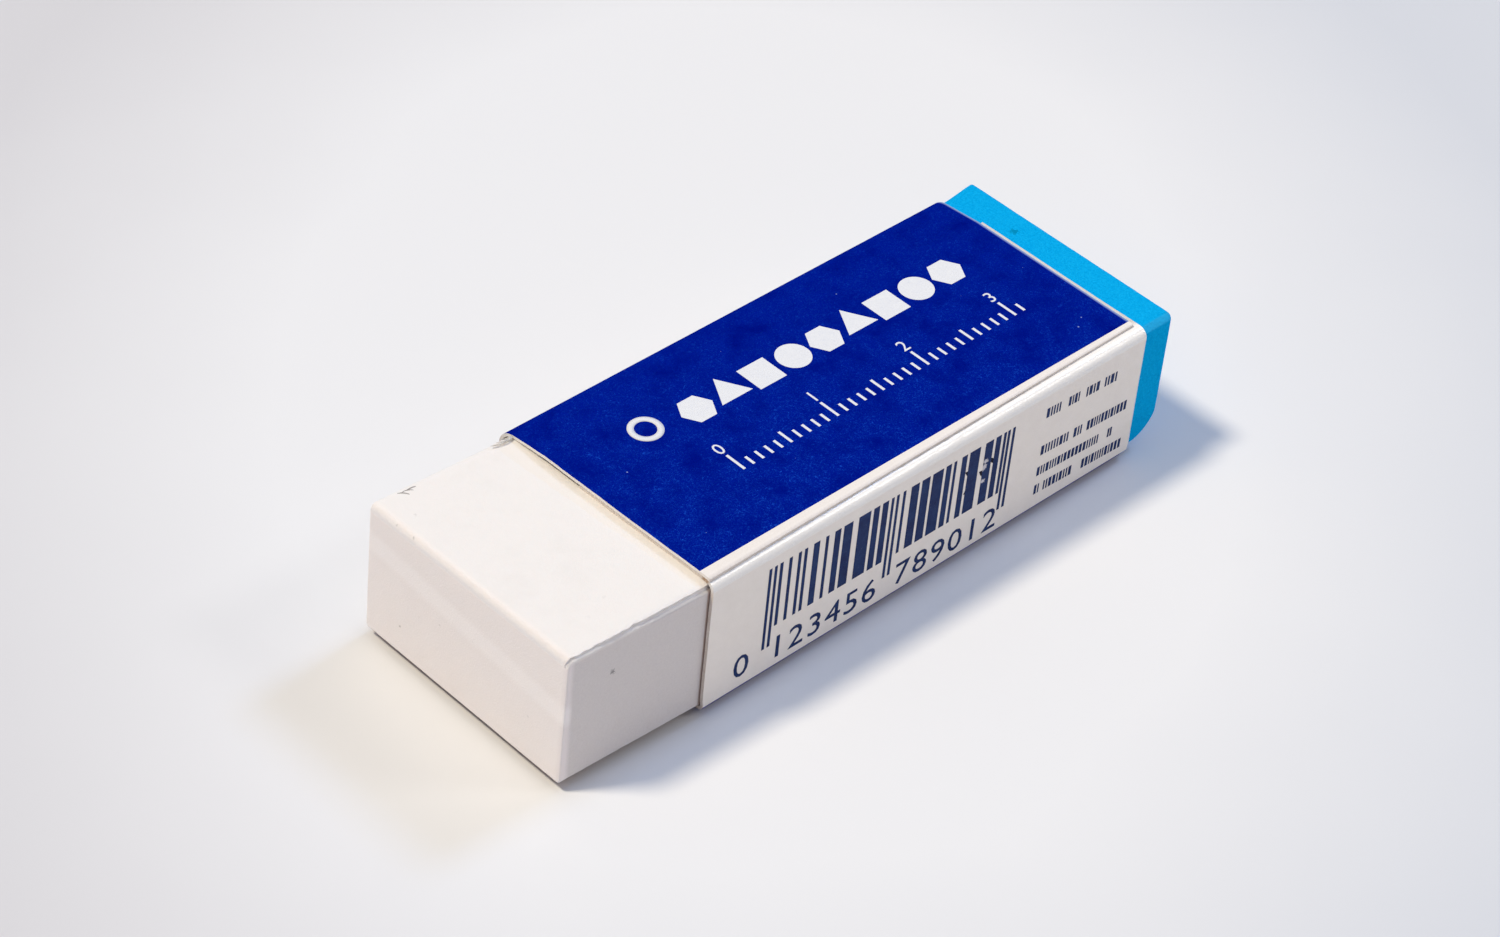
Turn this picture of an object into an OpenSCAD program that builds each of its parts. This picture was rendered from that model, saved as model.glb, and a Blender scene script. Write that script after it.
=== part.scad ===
// Two-part block eraser in a folded card sleeve, lying on its broad side.
// X runs along the eraser from the white end to the blue end, Y across it, Z up.
// The origin is at the middle of the footprint, on the underside of the sleeve.

/* [Eraser body] */
// Overall length of the body, white face to blue foot
body_length = 65; // [55:0.5:90]
// Width of the body
body_width = 22.6; // [16:0.1:32]
// Height of the body
body_height = 12.2; // [9:0.1:18]
// Length of the blue end, from its bond with the white block
blue_length = 20; // [6:0.5:30]

/* [Body edges] */
// Rounding of the long edge on top, near side
near_edge_round = 0.6; // [0.3:0.05:1.2]
// Rounding of the long edge on top, far side
far_edge_round = 1.3; // [0.3:0.05:2.5]
// Rounding of the two long edges underneath
under_edge_round = 0.6; // [0.3:0.05:1.5]
// Rounding of the upright corners of the white end
white_corner_round = 0.6; // [0.2:0.05:2]
// Rounding of the upright corners of the blue end
blue_corner_round = 0.9; // [0.2:0.05:2]
// Rounding of the upper edge of the white face
white_brow_round = 0.7; // [0.2:0.05:2]
// Rounding of the lower edge of the white face
white_foot_round = 0.4; // [0.2:0.05:2]
// Rounding of the upper edge of the blue face
blue_brow_round = 0.6; // [0.2:0.05:2]

/* [Wear] */
// Radius to which the blue end's foot is rubbed away
blue_foot_wear = 3; // [0.5:0.1:5]
// Depth to which the near side of the white end is rubbed in at its face
near_side_wear = 0.45; // [0:0.05:1.5]
// Length over which that side tapers in
near_side_wear_length = 13; // [4:0.5:30]
// Depth of the flat rubbed on the white end's near upper edge
white_edge_wear = 0.55; // [0.1:0.05:1.5]
// Length of that flat
white_edge_wear_length = 12; // [4:0.5:30]
// Depth of the flat rubbed on the blue end's near upper edge
blue_edge_wear = 0.45; // [0.1:0.05:1.5]
// Length of that flat
blue_edge_wear_length = 7; // [3:0.5:20]

/* [Card sleeve] */
// Thickness of the card
card = 0.3; // [0.2:0.05:0.6]
// Length of the sleeve along its near side
sleeve_length = 47.7; // [20:0.1:50]
// Length of white body that shows in front of the sleeve
white_showing = 13.6; // [0:0.05:20]
// Gap between the body and each side panel
side_play = 0.09; // [0.05:0.01:0.5]
// Gap between the body and the panels above and below it
face_play = 0.05; // [0.02:0.01:0.4]
// How far the front cut runs out of square, near side to far side
front_skew = 0.35; // [0:0.05:1]
// How far the hidden lap ends short of the far side, at the front
lap_short_front = 8.9; // [4:0.1:12]
// How far the hidden lap ends short of the far side, at the back
lap_short_back = 5.1; // [4:0.1:12]
// How far the top panel's seam lies in from the near side, at the front
seam_front = 0.5; // [0.3:0.05:2]
// How far the top panel's seam lies in from the near side, at the back
seam_back = 1.1; // [0.3:0.05:2]
// Length that the hidden lap stands out past the top panel, at the back
lap_showing = 0.6; // [0.1:0.05:2]
// Depth to which the glued lap is pressed together
glue_press = 0.02; // [0.01:0.01:0.1]

/* [Printed panel] */
// White margin between the near side and the blue print
print_margin = 1.65; // [0.5:0.05:4]
// Depth that the blue print runs down the far side
print_wrap = 1.2; // [0.5:0.1:6]

/* [Hidden] */
$fn = 64;

// The cutting shapes reach this far past what they cut.
past = 2;

// The least step between two outlines that would otherwise just touch.
hair = 0.0002;

// Places of the body. Its far and near sides are at half its width.
body_side = body_width / 2;
body_under = card + face_play;
body_top = body_under + body_height;
white_face = -body_length / 2;
blue_face = body_length / 2;
bond = blue_face - blue_length;

// Places of the sleeve. The single card's top is one card under the lap's.
sleeve_inside = body_side + side_play;
sleeve_side = sleeve_inside + card;
sleeve_front = white_face + white_showing;
sleeve_back = sleeve_front + sleeve_length;
panel_back = sleeve_back - lap_showing;
lap_under = body_top + face_play;
lap_top = lap_under + card;
panel_under = lap_top - glue_press;
panel_top = panel_under + card;

// Each fold runs round the body's own edge with the same play.
near_fold = near_edge_round + side_play;
far_fold = far_edge_round + side_play;
under_fold = under_edge_round + face_play;

// Centres of the four folds, in Y and Z.
near_top_centre = [near_fold - sleeve_inside, lap_under - near_fold];
far_top_centre = [sleeve_inside - far_fold, lap_under - far_fold];
near_low_centre = [under_fold - sleeve_inside, card + under_fold];
far_low_centre = [sleeve_inside - under_fold, card + under_fold];

// The top panel lies flat on the whole lap, then slopes down to the far fold.
slope_start = sleeve_side - min(lap_short_front, lap_short_back);

// The strip's stretches are drawn this far in X and in Y, then cut to length.
card_start = sleeve_front - front_skew - past;
card_stop = sleeve_back + past;
card_reach = sleeve_side + past;

// Half the inner angle at corner i of an outline, its rounding's centre, and
// the places where that rounding meets the two sides.
function toward(points, i, step) =
    let (count = len(points), way = points[(i + step + count) % count] - points[i])
    way / norm(way);
function half_angle(points, i) = acos(toward(points, i, -1) * toward(points, i, 1)) / 2;
function round_centre(points, i, radius) =
    let (middle = toward(points, i, -1) + toward(points, i, 1))
    points[i] + middle / norm(middle) * radius / sin(half_angle(points, i));
function round_start(points, i, radius, step) =
    points[i] + toward(points, i, step) * radius / tan(half_angle(points, i));

// How far a corner's circle stands proud, so that it crosses sides that lean.
function proud(points, i) = abs(half_angle(points, i) - 45) < 0.001 ? 0 : hair;

// A convex outline with its own true radius at each corner, or none where it is 0.
module rounded_outline(points, radii) {
    polygon([
        for (i = [0 : len(points) - 1])
            for (step = radii[i] > 0 ? [-1, 1] : [1])
                radii[i] > 0 ? round_start(points, i, radii[i], step) : points[i]
    ]);
    for (i = [0 : len(points) - 1])
        if (radii[i] > 0)
            translate(round_centre(points, i, radii[i]))
                circle(r = radii[i] + proud(points, i));
}

// A section drawn in Y and Z, run along X between two places.
module along_x(from, to) {
    translate([from, 0, 0])
        rotate([90, 0, 90])
            linear_extrude(height = to - from)
                children();
}

// The body's section, seen from its end.
module body_section() {
    rounded_outline(
        [[-body_side, body_under], [body_side, body_under], [body_side, body_top], [-body_side, body_top]],
        [under_edge_round, under_edge_round, far_edge_round, near_edge_round]
    );
}

// The body seen from above, with the near side of the white end rubbed in.
module body_plan() {
    rounded_outline(
        [
            [white_face, near_side_wear - body_side],
            [white_face + near_side_wear_length, -body_side],
            [blue_face, -body_side],
            [blue_face, body_side],
            [white_face, body_side]
        ],
        [white_corner_round, 0, blue_corner_round, blue_corner_round, white_corner_round]
    );
}

// The body seen from its near side, with the blue end's foot rubbed away.
module body_elevation() {
    rounded_outline(
        [[white_face, body_under], [blue_face, body_under], [blue_face, body_top], [white_face, body_top]],
        [white_foot_round, blue_foot_wear, blue_brow_round, white_brow_round]
    );
}

// The flat rubbed on the near upper edge. It deepens from nothing to its depth
// at the end, and is drawn here for an end that lies towards -X.
module rubbed_flat(end, depth, length) {
    corner_waste = (sqrt(2) - 1) * near_edge_round;
    translate([end + length, -body_side, body_top])
        rotate([45, 0, 0])
            translate([0, 0, -corner_waste])
                rotate([0, -atan(depth / length), 0])
                    translate([-length - past, -body_height / 2, 0])
                        cube([length + past, body_height, body_height]);
}

// The whole body, white and blue together.
module body_form() {
    difference() {
        intersection() {
            along_x(white_face - past, blue_face + past)
                body_section();
            translate([0, 0, body_under - past])
                linear_extrude(height = body_height + 2 * past)
                    body_plan();
            translate([0, body_side + past, 0])
                rotate([90, 0, 0])
                    linear_extrude(height = body_width + 2 * past)
                        body_elevation();
        }
        rubbed_flat(white_face, white_edge_wear, white_edge_wear_length);
        mirror([1, 0, 0])
            rubbed_flat(-blue_face, blue_edge_wear, blue_edge_wear_length);
    }
}

// A box that holds the stretch of the body between two places along X.
module stretch(from, to) {
    translate([from, -body_side - past, body_under - past])
        cube([to - from, body_width + 2 * past, body_height + 2 * past]);
}

// White vinyl block, moulded against the blue end.
module white_block() {
    color("whitesmoke")
        intersection() {
            body_form();
            stretch(white_face - past, bond);
        }
}

// Gritty blue vinyl end for ink, bonded to the white block face to face.
module blue_end() {
    color("deepskyblue")
        intersection() {
            body_form();
            stretch(bond, blue_face + past);
        }
}

// One quarter of a fold's ring of card. The centre is the fold's own, and the
// signs say which way its quarter lies.
module fold(centre, inner, y_sign, z_sign) {
    translate(centre)
        intersection() {
            difference() {
                circle(r = inner + card);
                circle(r = inner);
            }
            translate([y_sign > 0 ? 0 : -inner - card, z_sign > 0 ? 0 : -inner - card])
                square(inner + card);
        }
}

// The strip's first stretch, from the near top fold down and under to the far
// low fold.
module under_section() {
    fold(near_top_centre, near_fold, -1, 1);
    fold(near_low_centre, under_fold, -1, -1);
    fold(far_low_centre, under_fold, 1, -1);
    translate([-sleeve_side, near_low_centre[1]])
        square([card, near_top_centre[1] - near_low_centre[1]]);
    translate([near_low_centre[0], 0])
        square([far_low_centre[0] - near_low_centre[0], card]);
}

// Height at which a line from the slope's start, touching a circle round the
// far top fold's centre, comes to the far side.
function slope_end(side, top, radius) =
    let (way = far_top_centre - [slope_start, top])
    top - (side - slope_start) * tan(atan(-way[1] / way[0]) - asin(radius / norm(way)));

// One face of the strip's last stretch, as a filled outline: up the far side,
// round its fold, up the slope and flat across to the near side.
module over_outline(side, top, radius) {
    rounded_outline(
        [
            [-card_reach, far_low_centre[1]],
            [side, far_low_centre[1]],
            [side, slope_end(side, top, radius)],
            [slope_start, top],
            [-card_reach, top]
        ],
        [0, 0, radius, 0, 0]
    );
}

// The strip's last stretch, between its two faces.
module over_section() {
    difference() {
        over_outline(sleeve_side, panel_top, far_fold + card);
        over_outline(sleeve_inside, panel_under, far_fold);
    }
}

// Everything above and below an outline drawn in X and Y.
module column(points) {
    translate([0, 0, -past])
        linear_extrude(height = panel_top + 2 * past)
            polygon(points);
}

// Y of a slanted edge at this X, from its Y at the sleeve's front and back.
function slanted(front, back, x) = front + (back - front) * (x - sleeve_front) / sleeve_length;
function seam(x) = slanted(seam_front, seam_back, x) - sleeve_side;
function lap_edge(x) = sleeve_side - slanted(lap_short_front, lap_short_back, x);

// Where the front cut crosses a line along X at this Y.
function front_cut(y) = sleeve_front - front_skew * (y + sleeve_side) / (2 * sleeve_side);

// Near side and underside. The back end is cut square as far as the near fold,
// and then slants in to the top panel's own end.
module under_stretch() {
    intersection() {
        along_x(card_start, card_stop)
            under_section();
        column([
            [card_start, -card_reach],
            [sleeve_back, -card_reach],
            [sleeve_back, near_top_centre[0]],
            [panel_back, far_low_centre[0]],
            [panel_back, card_reach],
            [card_start, card_reach]
        ]);
    }
}

// The hidden lap, with its slanted edge.
module lap() {
    translate([0, 0, lap_under])
        linear_extrude(height = card)
            polygon([
                [card_start, near_top_centre[0]],
                [sleeve_back, near_top_centre[0]],
                [sleeve_back, lap_edge(sleeve_back)],
                [card_start, lap_edge(card_start)]
            ]);
}

// Far side and top panel, cut along the slanted seam.
module over_stretch() {
    intersection() {
        along_x(card_start, card_stop)
            over_section();
        column([
            [card_start, seam(card_start)],
            [panel_back, seam(panel_back)],
            [panel_back, card_reach],
            [card_start, card_reach]
        ]);
    }
}

// The folded strip in one piece, glued along the lap, with its front cut off
// in one straight line.
module folded_card() {
    intersection() {
        union() {
            under_stretch();
            lap();
            over_stretch();
        }
        column([
            [front_cut(-card_reach), -card_reach],
            [card_stop, -card_reach],
            [card_stop, card_reach],
            [front_cut(card_reach), card_reach]
        ]);
    }
}

// The part of the card that is printed blue: the top panel and the far fold.
module print_zone() {
    translate([card_start, print_margin - sleeve_side, lap_top - print_wrap])
        cube([panel_back - card_start, 2 * sleeve_side, print_wrap + past]);
}

// Card sleeve, white with a blue panel printed on top.
module card_sleeve() {
    color("white")
        difference() {
            folded_card();
            print_zone();
        }
    color("mediumblue")
        intersection() {
            folded_card();
            print_zone();
        }
}

white_block();
blue_end();
card_sleeve();
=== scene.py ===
import math

import bmesh
import bpy
from mathutils import Matrix, Vector, noise


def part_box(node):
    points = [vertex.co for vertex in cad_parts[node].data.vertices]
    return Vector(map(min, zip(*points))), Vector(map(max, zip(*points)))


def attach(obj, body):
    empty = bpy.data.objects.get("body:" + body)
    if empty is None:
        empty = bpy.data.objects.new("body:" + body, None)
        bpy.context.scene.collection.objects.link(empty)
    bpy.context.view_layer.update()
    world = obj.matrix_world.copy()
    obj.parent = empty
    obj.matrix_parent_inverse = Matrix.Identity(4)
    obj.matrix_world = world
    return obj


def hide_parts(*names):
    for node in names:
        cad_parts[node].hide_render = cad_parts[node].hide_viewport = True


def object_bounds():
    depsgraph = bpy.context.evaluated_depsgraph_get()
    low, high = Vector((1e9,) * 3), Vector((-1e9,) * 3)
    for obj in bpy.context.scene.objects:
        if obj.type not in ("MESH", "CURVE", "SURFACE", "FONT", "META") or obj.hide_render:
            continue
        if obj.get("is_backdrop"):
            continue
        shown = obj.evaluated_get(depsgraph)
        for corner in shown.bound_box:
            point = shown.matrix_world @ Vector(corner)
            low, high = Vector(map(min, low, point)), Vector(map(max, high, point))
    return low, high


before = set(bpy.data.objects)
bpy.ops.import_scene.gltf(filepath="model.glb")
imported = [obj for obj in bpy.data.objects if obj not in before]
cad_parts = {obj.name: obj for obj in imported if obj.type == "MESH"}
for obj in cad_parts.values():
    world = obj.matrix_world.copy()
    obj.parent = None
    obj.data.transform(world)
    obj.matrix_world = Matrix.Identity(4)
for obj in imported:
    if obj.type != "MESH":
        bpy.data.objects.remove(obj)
cad_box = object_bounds()

# White block
# The body of the eraser is soft white vinyl, moulded as a plain bar with rounded
# edges and bonded at its hidden end to the blue vinyl. Use has rubbed its near
# side and near upper edge, and a few specks of grit are pressed into it.

mm = 0.001
white_low, white_high = (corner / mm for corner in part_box("white_block"))
white_face = white_low.x
bond = white_high.x

white_rounds = dict(
    near_top=0.5, far_top=1.3, near_under=0.3, far_under=0.3, corner=0.14, brow=0.6, foot=0.08
)
white_wear = dict(
    side=0.52, side_length=13, edge_left=0.22, far_left=0.3, edge_length=11,
    ragged=0.14, lean=0.25, knock=0.42,
)
lean_length = 6
corner_worn = 0.22
knock_softness, knock_bare = 0.12, 0.25
bevel_softness, bevel_bare = 0.07, 0.06
sleeve_mouth = white_face + 13.6
mouth_slant = 0.056
shown_step, hidden_step = 0.3, 1.3
section_step = 0.6
ripple = 0.05

def rounding(radius, count=5):
    """Distances from a face at which a rounding that runs up to it is cut."""
    quarter = math.radians(90)
    return [radius * (1 - math.cos(quarter * k / count)) for k in range(count + 1)]


def corner_cuts(radius, count=4):
    """Distances from a corner at which its rounding is cut into even steps."""
    eighth = math.radians(45)
    return [radius * (1 - math.tan(eighth * (1 - k / count))) for k in range(count + 1)]


def evenly(low, high, step):
    count = max(1, math.ceil((high - low) / step))
    return [low + (high - low) * k / count for k in range(count + 1)]


def merged(places, closest=0.02):
    """The places in order, without those that nearly repeat the one before."""
    kept = []
    for place in sorted(places):
        if not kept or place - kept[-1] > closest:
            kept.append(place)
    return kept


def round_in(y, z, bounds, radii):
    """Moves a point of a rectangle on to the same rectangle with round corners."""
    near, far, under, top = bounds
    side, edge_y, way_y = ("near", near, 1) if y - near < far - y else ("far", far, -1)
    level, edge_z, way_z = ("under", under, 1) if z - under < top - z else ("top", top, -1)
    radius = radii[side + "_" + level]
    in_y = radius - abs(y - edge_y)
    in_z = radius - abs(z - edge_z)
    if in_y <= 0 or in_z <= 0:
        return y, z, 0
    shrink = max(in_y, in_z) / math.hypot(in_y, in_z)
    y = edge_y + way_y * (radius - in_y * shrink)
    z = edge_z + way_z * (radius - in_z * shrink)
    return y, z, 1


def rim_inset(radius, depth):
    """How far a rounded rim has drawn in at this depth behind its face."""
    short = max(radius - depth, 0)
    return radius - math.sqrt(radius ** 2 - short ** 2)


def rubbed(spot, corner, out, depth, softness):
    """Rubs off what stands past a plane that lies this deep under a corner, and
    says how much went."""
    excess = (spot - corner).dot(out) + depth
    off = (excess + math.hypot(excess, softness)) / 2
    return spot - out * off, off


def moulded_point(x, y, z, low, high, face, radii, wear):
    """Puts a point of the plain bar on the moulded and worn one, and says how
    worn the bar is there."""
    depth = abs(x - face)
    inward = 1 if face < 0 else -1
    side_wear = wear["side"] * max(1 - depth / wear["side_length"], 0)
    near = low.y + rim_inset(radii["corner"], depth) + side_wear
    far = high.y - rim_inset(radii["corner"], depth)
    under = low.z + rim_inset(radii["foot"], depth)
    top = high.z - rim_inset(radii["brow"], depth)
    share_y = (y - low.y) / (high.y - low.y)
    share_z = (z - low.z) / (high.z - low.z)
    y = near + (far - near) * share_y
    z = under + (top - under) * share_z
    kept = min(depth / wear["edge_length"], 1)
    near_edge = wear["edge_left"] + (radii["near_top"] - wear["edge_left"]) * kept
    far_edge = wear["far_left"] + (radii["far_top"] - wear["far_left"]) * kept
    near += wear["ragged"] * share_z ** 8 * (1 + noise.noise(Vector((x * 1.1, z * 0.4, 5))))
    radii = dict(radii, near_top=near_edge, far_top=far_edge)
    y, z, worn = round_in(y, z, (near, far, under, top), radii)
    worn *= corner_worn
    if depth < radii["brow"] and share_z > 0.98:
        worn = max(worn, 0.5 * (1 - depth / radii["brow"]))
    x += inward * wear["lean"] * share_z * max(1 - depth / lean_length, 0)
    corner = Vector((face, low.y + wear["side"], high.z))
    knock_out = Vector((-inward, -0.75, 1.1)).normalized()
    spot, off = rubbed(Vector((x, y, z)), corner, knock_out, wear["knock"], knock_softness)
    worn = max(worn, min(1, off / knock_bare))
    if "bevel" in wear:
        long_edge = Vector((x, low.y, high.z))
        bevel_out = Vector((0, -1, 1)).normalized()
        spot, off = rubbed(spot, long_edge, bevel_out, wear["bevel"], bevel_softness)
        worn = max(worn, min(1, off / bevel_bare))
    return spot, worn


def linked(name, data):
    """An object of this data, put in the scene."""
    made = bpy.data.objects.new(name, data)
    bpy.context.scene.collection.objects.link(made)
    return made


def piece_of(name, made, *materials):
    """The plain object that a bmesh describes."""
    mesh = bpy.data.meshes.new(name)
    made.to_mesh(mesh)
    made.free()
    for material in materials:
        mesh.materials.append(material)
    return linked(name, mesh)


def bar_skin(name, along, across, up, place, material):
    """A closed skin over a bar that is cut at the given stations, with each
    point put where place says and then rippled a little inwards."""
    stations = (along, across, up)
    last = [len(cuts) - 1 for cuts in stations]
    skin = bmesh.new()
    worn_layer = skin.verts.layers.float.new("worn")
    points = {}

    def point(index):
        if index not in points:
            spot, worn = place(*(cuts[i] for cuts, i in zip(stations, index)))
            points[index] = skin.verts.new(spot * mm)
            points[index][worn_layer] = worn
        return points[index]

    for axis in range(3):
        first, second = (axis + 1) % 3, (axis + 2) % 3
        for level in (0, last[axis]):
            for i in range(last[first]):
                for j in range(last[second]):
                    corners = []
                    for di, dj in ((0, 0), (1, 0), (1, 1), (0, 1)):
                        index = [0, 0, 0]
                        index[axis], index[first], index[second] = level, i + di, j + dj
                        corners.append(point(tuple(index)))
                    skin.faces.new(corners if level else corners[::-1])
    bmesh.ops.recalc_face_normals(skin, faces=skin.faces)
    skin.normal_update()
    moves = []
    for vert in skin.verts:
        spot = vert.co / mm
        swell = 0.5 + 0.5 * noise.noise(spot * 0.35)
        dimple = 0.5 + 0.5 * noise.noise(spot * 1.4 + Vector((7, 0, 3)))
        depth = ripple * (0.5 * swell + (0.25 + vert[worn_layer]) * dimple)
        moves.append(vert.normal * depth * mm)
    for vert, move in zip(skin.verts, moves):
        vert.co -= move
    bar = piece_of(name, skin, material)
    bar.data.shade_smooth()
    return bar


def node(tree, kind, inputs=None, **settings):
    """A node with its settings, and its inputs given a value or joined."""
    made = tree.nodes.new(kind)
    for key, value in settings.items():
        setattr(made, key, value)
    for key, value in (inputs or {}).items():
        if isinstance(value, bpy.types.NodeSocket):
            tree.links.new(value, made.inputs[key])
        else:
            made.inputs[key].default_value = value
    return made


def result(tree, kind, inputs=None, **settings):
    """The first output of a new node."""
    return node(tree, kind, inputs, **settings).outputs[0]


def maths(tree, operation, *values):
    return result(tree, "ShaderNodeMath", dict(enumerate(values)), operation=operation)


def product(tree, first, second):
    return maths(tree, "MULTIPLY", first, second)


def vectors(tree, operation, inputs):
    """The vector, or for a distance or length the number, that this works out."""
    made = node(tree, "ShaderNodeVectorMath", inputs, operation=operation)
    return made.outputs["Value" if operation in ("DISTANCE", "LENGTH") else "Vector"]


def parts(tree, vector):
    return node(tree, "ShaderNodeSeparateXYZ", {0: vector}).outputs


def painted(tree, label):
    """A number that the mesh carries at its points."""
    return node(tree, "ShaderNodeAttribute", attribute_name=label).outputs["Fac"]


def blotches(tree, place, scale, detail=2.0, roughness=0.5, distortion=0.0):
    """Soft random blotches, as a number that lies about a half."""
    inputs = {"Vector": place, "Scale": scale, "Detail": detail}
    inputs |= {"Roughness": roughness, "Distortion": distortion}
    return result(tree, "ShaderNodeTexNoise", inputs)


def between(tree, value, low, high, to_low=0.0, to_high=1.0):
    """Maps a value from one range to another, and holds it at both ends."""
    inputs = {"Value": value, "From Min": low, "From Max": high, "To Min": to_low, "To Max": to_high}
    return result(tree, "ShaderNodeMapRange", inputs)


def span(tree, value, low, high):
    """Maps a number from 0 to 1 to another range."""
    return between(tree, value, 0.0, 1.0, low, high)


def tinted(tree, share, plain, tint):
    """Mixes two colours by a share from 0 to 1."""
    mix = node(tree, "ShaderNodeMix", {"Factor": share}, data_type="RGBA")
    sockets = [s for s in mix.inputs if s.type == "RGBA"]
    for socket, colour in zip(sockets, (plain, tint)):
        if isinstance(colour, bpy.types.NodeSocket):
            tree.links.new(colour, socket)
        else:
            socket.default_value = (*colour, 1)
    return next(s for s in mix.outputs if s.type == "RGBA")


def group(name, inputs, outputs):
    """An empty shader node group with named sockets, and its two end nodes."""
    made = bpy.data.node_groups.new(name, "ShaderNodeTree")
    for label, kind, value in inputs:
        socket = made.interface.new_socket(name=label, in_out="INPUT", socket_type=kind)
        if value is not None:
            socket.default_value = value
    for label, kind in outputs:
        made.interface.new_socket(name=label, in_out="OUTPUT", socket_type=kind)
    return made, made.nodes.new("NodeGroupInput").outputs, made.nodes.new("NodeGroupOutput").inputs


def use_group(tree, used, inputs):
    return node(tree, "ShaderNodeGroup", inputs, node_tree=used).outputs


FLOAT = "NodeSocketFloat"
VECTOR = "NodeSocketVector"

# Grain is the fine, sandy unevenness of vinyl and card.
grain_group, grain_in, grain_out = group(
    "grain",
    [("Place", VECTOR, None), ("Size", FLOAT, 0.2)],
    [("Height", FLOAT), ("Shade", FLOAT)],
)
grain_scale = maths(grain_group, "DIVIDE", 1.0, grain_in["Size"])
grain_fine = blotches(grain_group, grain_in["Place"], grain_scale, 3.0, 0.65)
grain_broad = blotches(grain_group, grain_in["Place"], product(grain_group, grain_scale, 0.12), 4.0)
grain_mixed = maths(grain_group, "MULTIPLY_ADD", grain_broad, 0.6, product(grain_group, grain_fine, 0.4))
grain_group.links.new(between(grain_group, grain_fine, 0.25, 0.75), grain_out["Height"])
grain_group.links.new(between(grain_group, grain_mixed, 0.3, 0.7), grain_out["Shade"])

# A speck is one small ragged spot at a given place.
speck_group, speck_in, speck_out = group(
    "speck",
    [("Place", VECTOR, None), ("Centre", VECTOR, (0, 0, 0)), ("Size", FLOAT, 0.3)],
    [("Mask", FLOAT)],
)
speck_wobble = between(speck_group, blotches(speck_group, speck_in["Place"], 5.0), 0.3, 0.7, 0.4, 1.3)
speck_reach = product(speck_group, speck_in["Size"], speck_wobble)
speck_distance = vectors(speck_group, "DISTANCE", {0: speck_in["Place"], 1: speck_in["Centre"]})
speck_share = maths(speck_group, "DIVIDE", speck_distance, speck_reach)
speck_group.links.new(between(speck_group, speck_share, 1.0, 0.55), speck_out["Mask"])


def new_material(name, grain_size, **uniform):
    """A material with its tree and its shader's sockets, and the place on the
    piece in millimetres with the grain there."""
    made = bpy.data.materials.new(name)
    made.use_nodes = True
    tree = made.node_tree
    shader = tree.nodes["Principled BSDF"].inputs
    for label, value in uniform.items():
        shader[label.replace("_", " ")].default_value = value
    coordinates = node(tree, "ShaderNodeTexCoord").outputs["Object"]
    place = vectors(tree, "SCALE", {0: coordinates, "Scale": 1 / mm})
    return made, tree, shader, place, use_group(tree, grain_group, {"Place": place, "Size": grain_size})


def worst_of(tree, masks):
    """The strongest of several masks at each point."""
    strongest = masks[0]
    for mask in masks[1:]:
        strongest = maths(tree, "MAXIMUM", strongest, mask)
    return strongest


def dress(tree, shader, colour, height, depth, roughness=None):
    """Joins the shader to its colour, to its bumps, which are so many millimetres
    deep, and to a roughness where that varies."""
    tree.links.new(colour, shader["Base Color"])
    bump = {"Height": height, "Strength": 1.0, "Distance": depth * mm}
    tree.links.new(result(tree, "ShaderNodeBump", bump), shader["Normal"])
    if roughness is not None:
        tree.links.new(roughness, shader["Roughness"])


white_vinyl, tree, shader, place, grain = new_material(
    "white_vinyl", 0.16, Roughness=0.62, Specular_IOR_Level=0.3, Subsurface_Weight=0.12,
    Subsurface_Radius=(1.2 * mm, 1.0 * mm, 0.9 * mm), Subsurface_Scale=1.0,
)
white_clean = (0.905, 0.872, 0.85)
white_smudged = (0.8, 0.77, 0.745)
white_rubbed = (0.93, 0.9, 0.915)
white_bounce_warm = (0.9, 0.85, 0.8)
white_near_shade = (0.69, 0.645, 0.645)
white_highlight = (1.0, 0.95, 0.955)
face_lamp_warm = (0.96, 0.89, 0.9)
shade_brown = (0.3, 0.17, 0.12)
grit_dark = (0.16, 0.15, 0.16)
white_specks = [
    ((-27.93, -10.98, 9.12), 0.3, 0.7),
    ((-32.4, 7.37, 2.95), 0.17, 0.35),
    ((-32.4, 3.04, 6.2), 0.14, 0.2),
    ((-32.4, -0.7, 7.2), 0.12, 0.15),
    ((-32.4, -7.0, 4.4), 0.12, 0.15),
    ((-32.2, 6.5, 12.3), 0.2, 0.3),
    ((-32.2, 8.3, 12.3), 0.16, 0.25),
    ((-30.5, 8.1, 12.5), 0.2, 0.14),
    ((-25.7, -7.3, 12.5), 0.24, 0.05),
    ((-28.0, -8.1, 12.5), 0.22, 0.05),
]

# Handling has left smudges in broad shares. The near side, the foot and the crevice at the sleeve's mouth are
# darkened as painted shade.
# A warm band before the mouth is painted bounce light, and the end face is tinted as painted lamp light with
# a painted highlight band.
smudge = blotches(tree, place, 0.28, 5.0, 0.6)
axes = parts(tree, place)
colour = tinted(tree, between(tree, smudge, 0.52, 0.8, 0.0, 0.35), white_clean, white_smudged)
colour = tinted(tree, span(tree, grain["Shade"], 0.0, 0.1), colour, white_smudged)
# The near side below its upper edge is painted darker as shade, with a little grain in it.
side_line = maths(tree, "MULTIPLY_ADD", axes["X"], -0.022, -11.42)
near_side_shade = between(tree, maths(tree, "SUBTRACT", axes["Y"], side_line), 0.55, 0.1)
near_side_shade = product(tree, near_side_shade, between(tree, axes["Z"], 12.3, 11.9))
near_side_shade = product(tree, near_side_shade, span(tree, grain["Height"], 1.0, 0.72))
colour = tinted(tree, near_side_shade, colour, white_near_shade)
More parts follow.
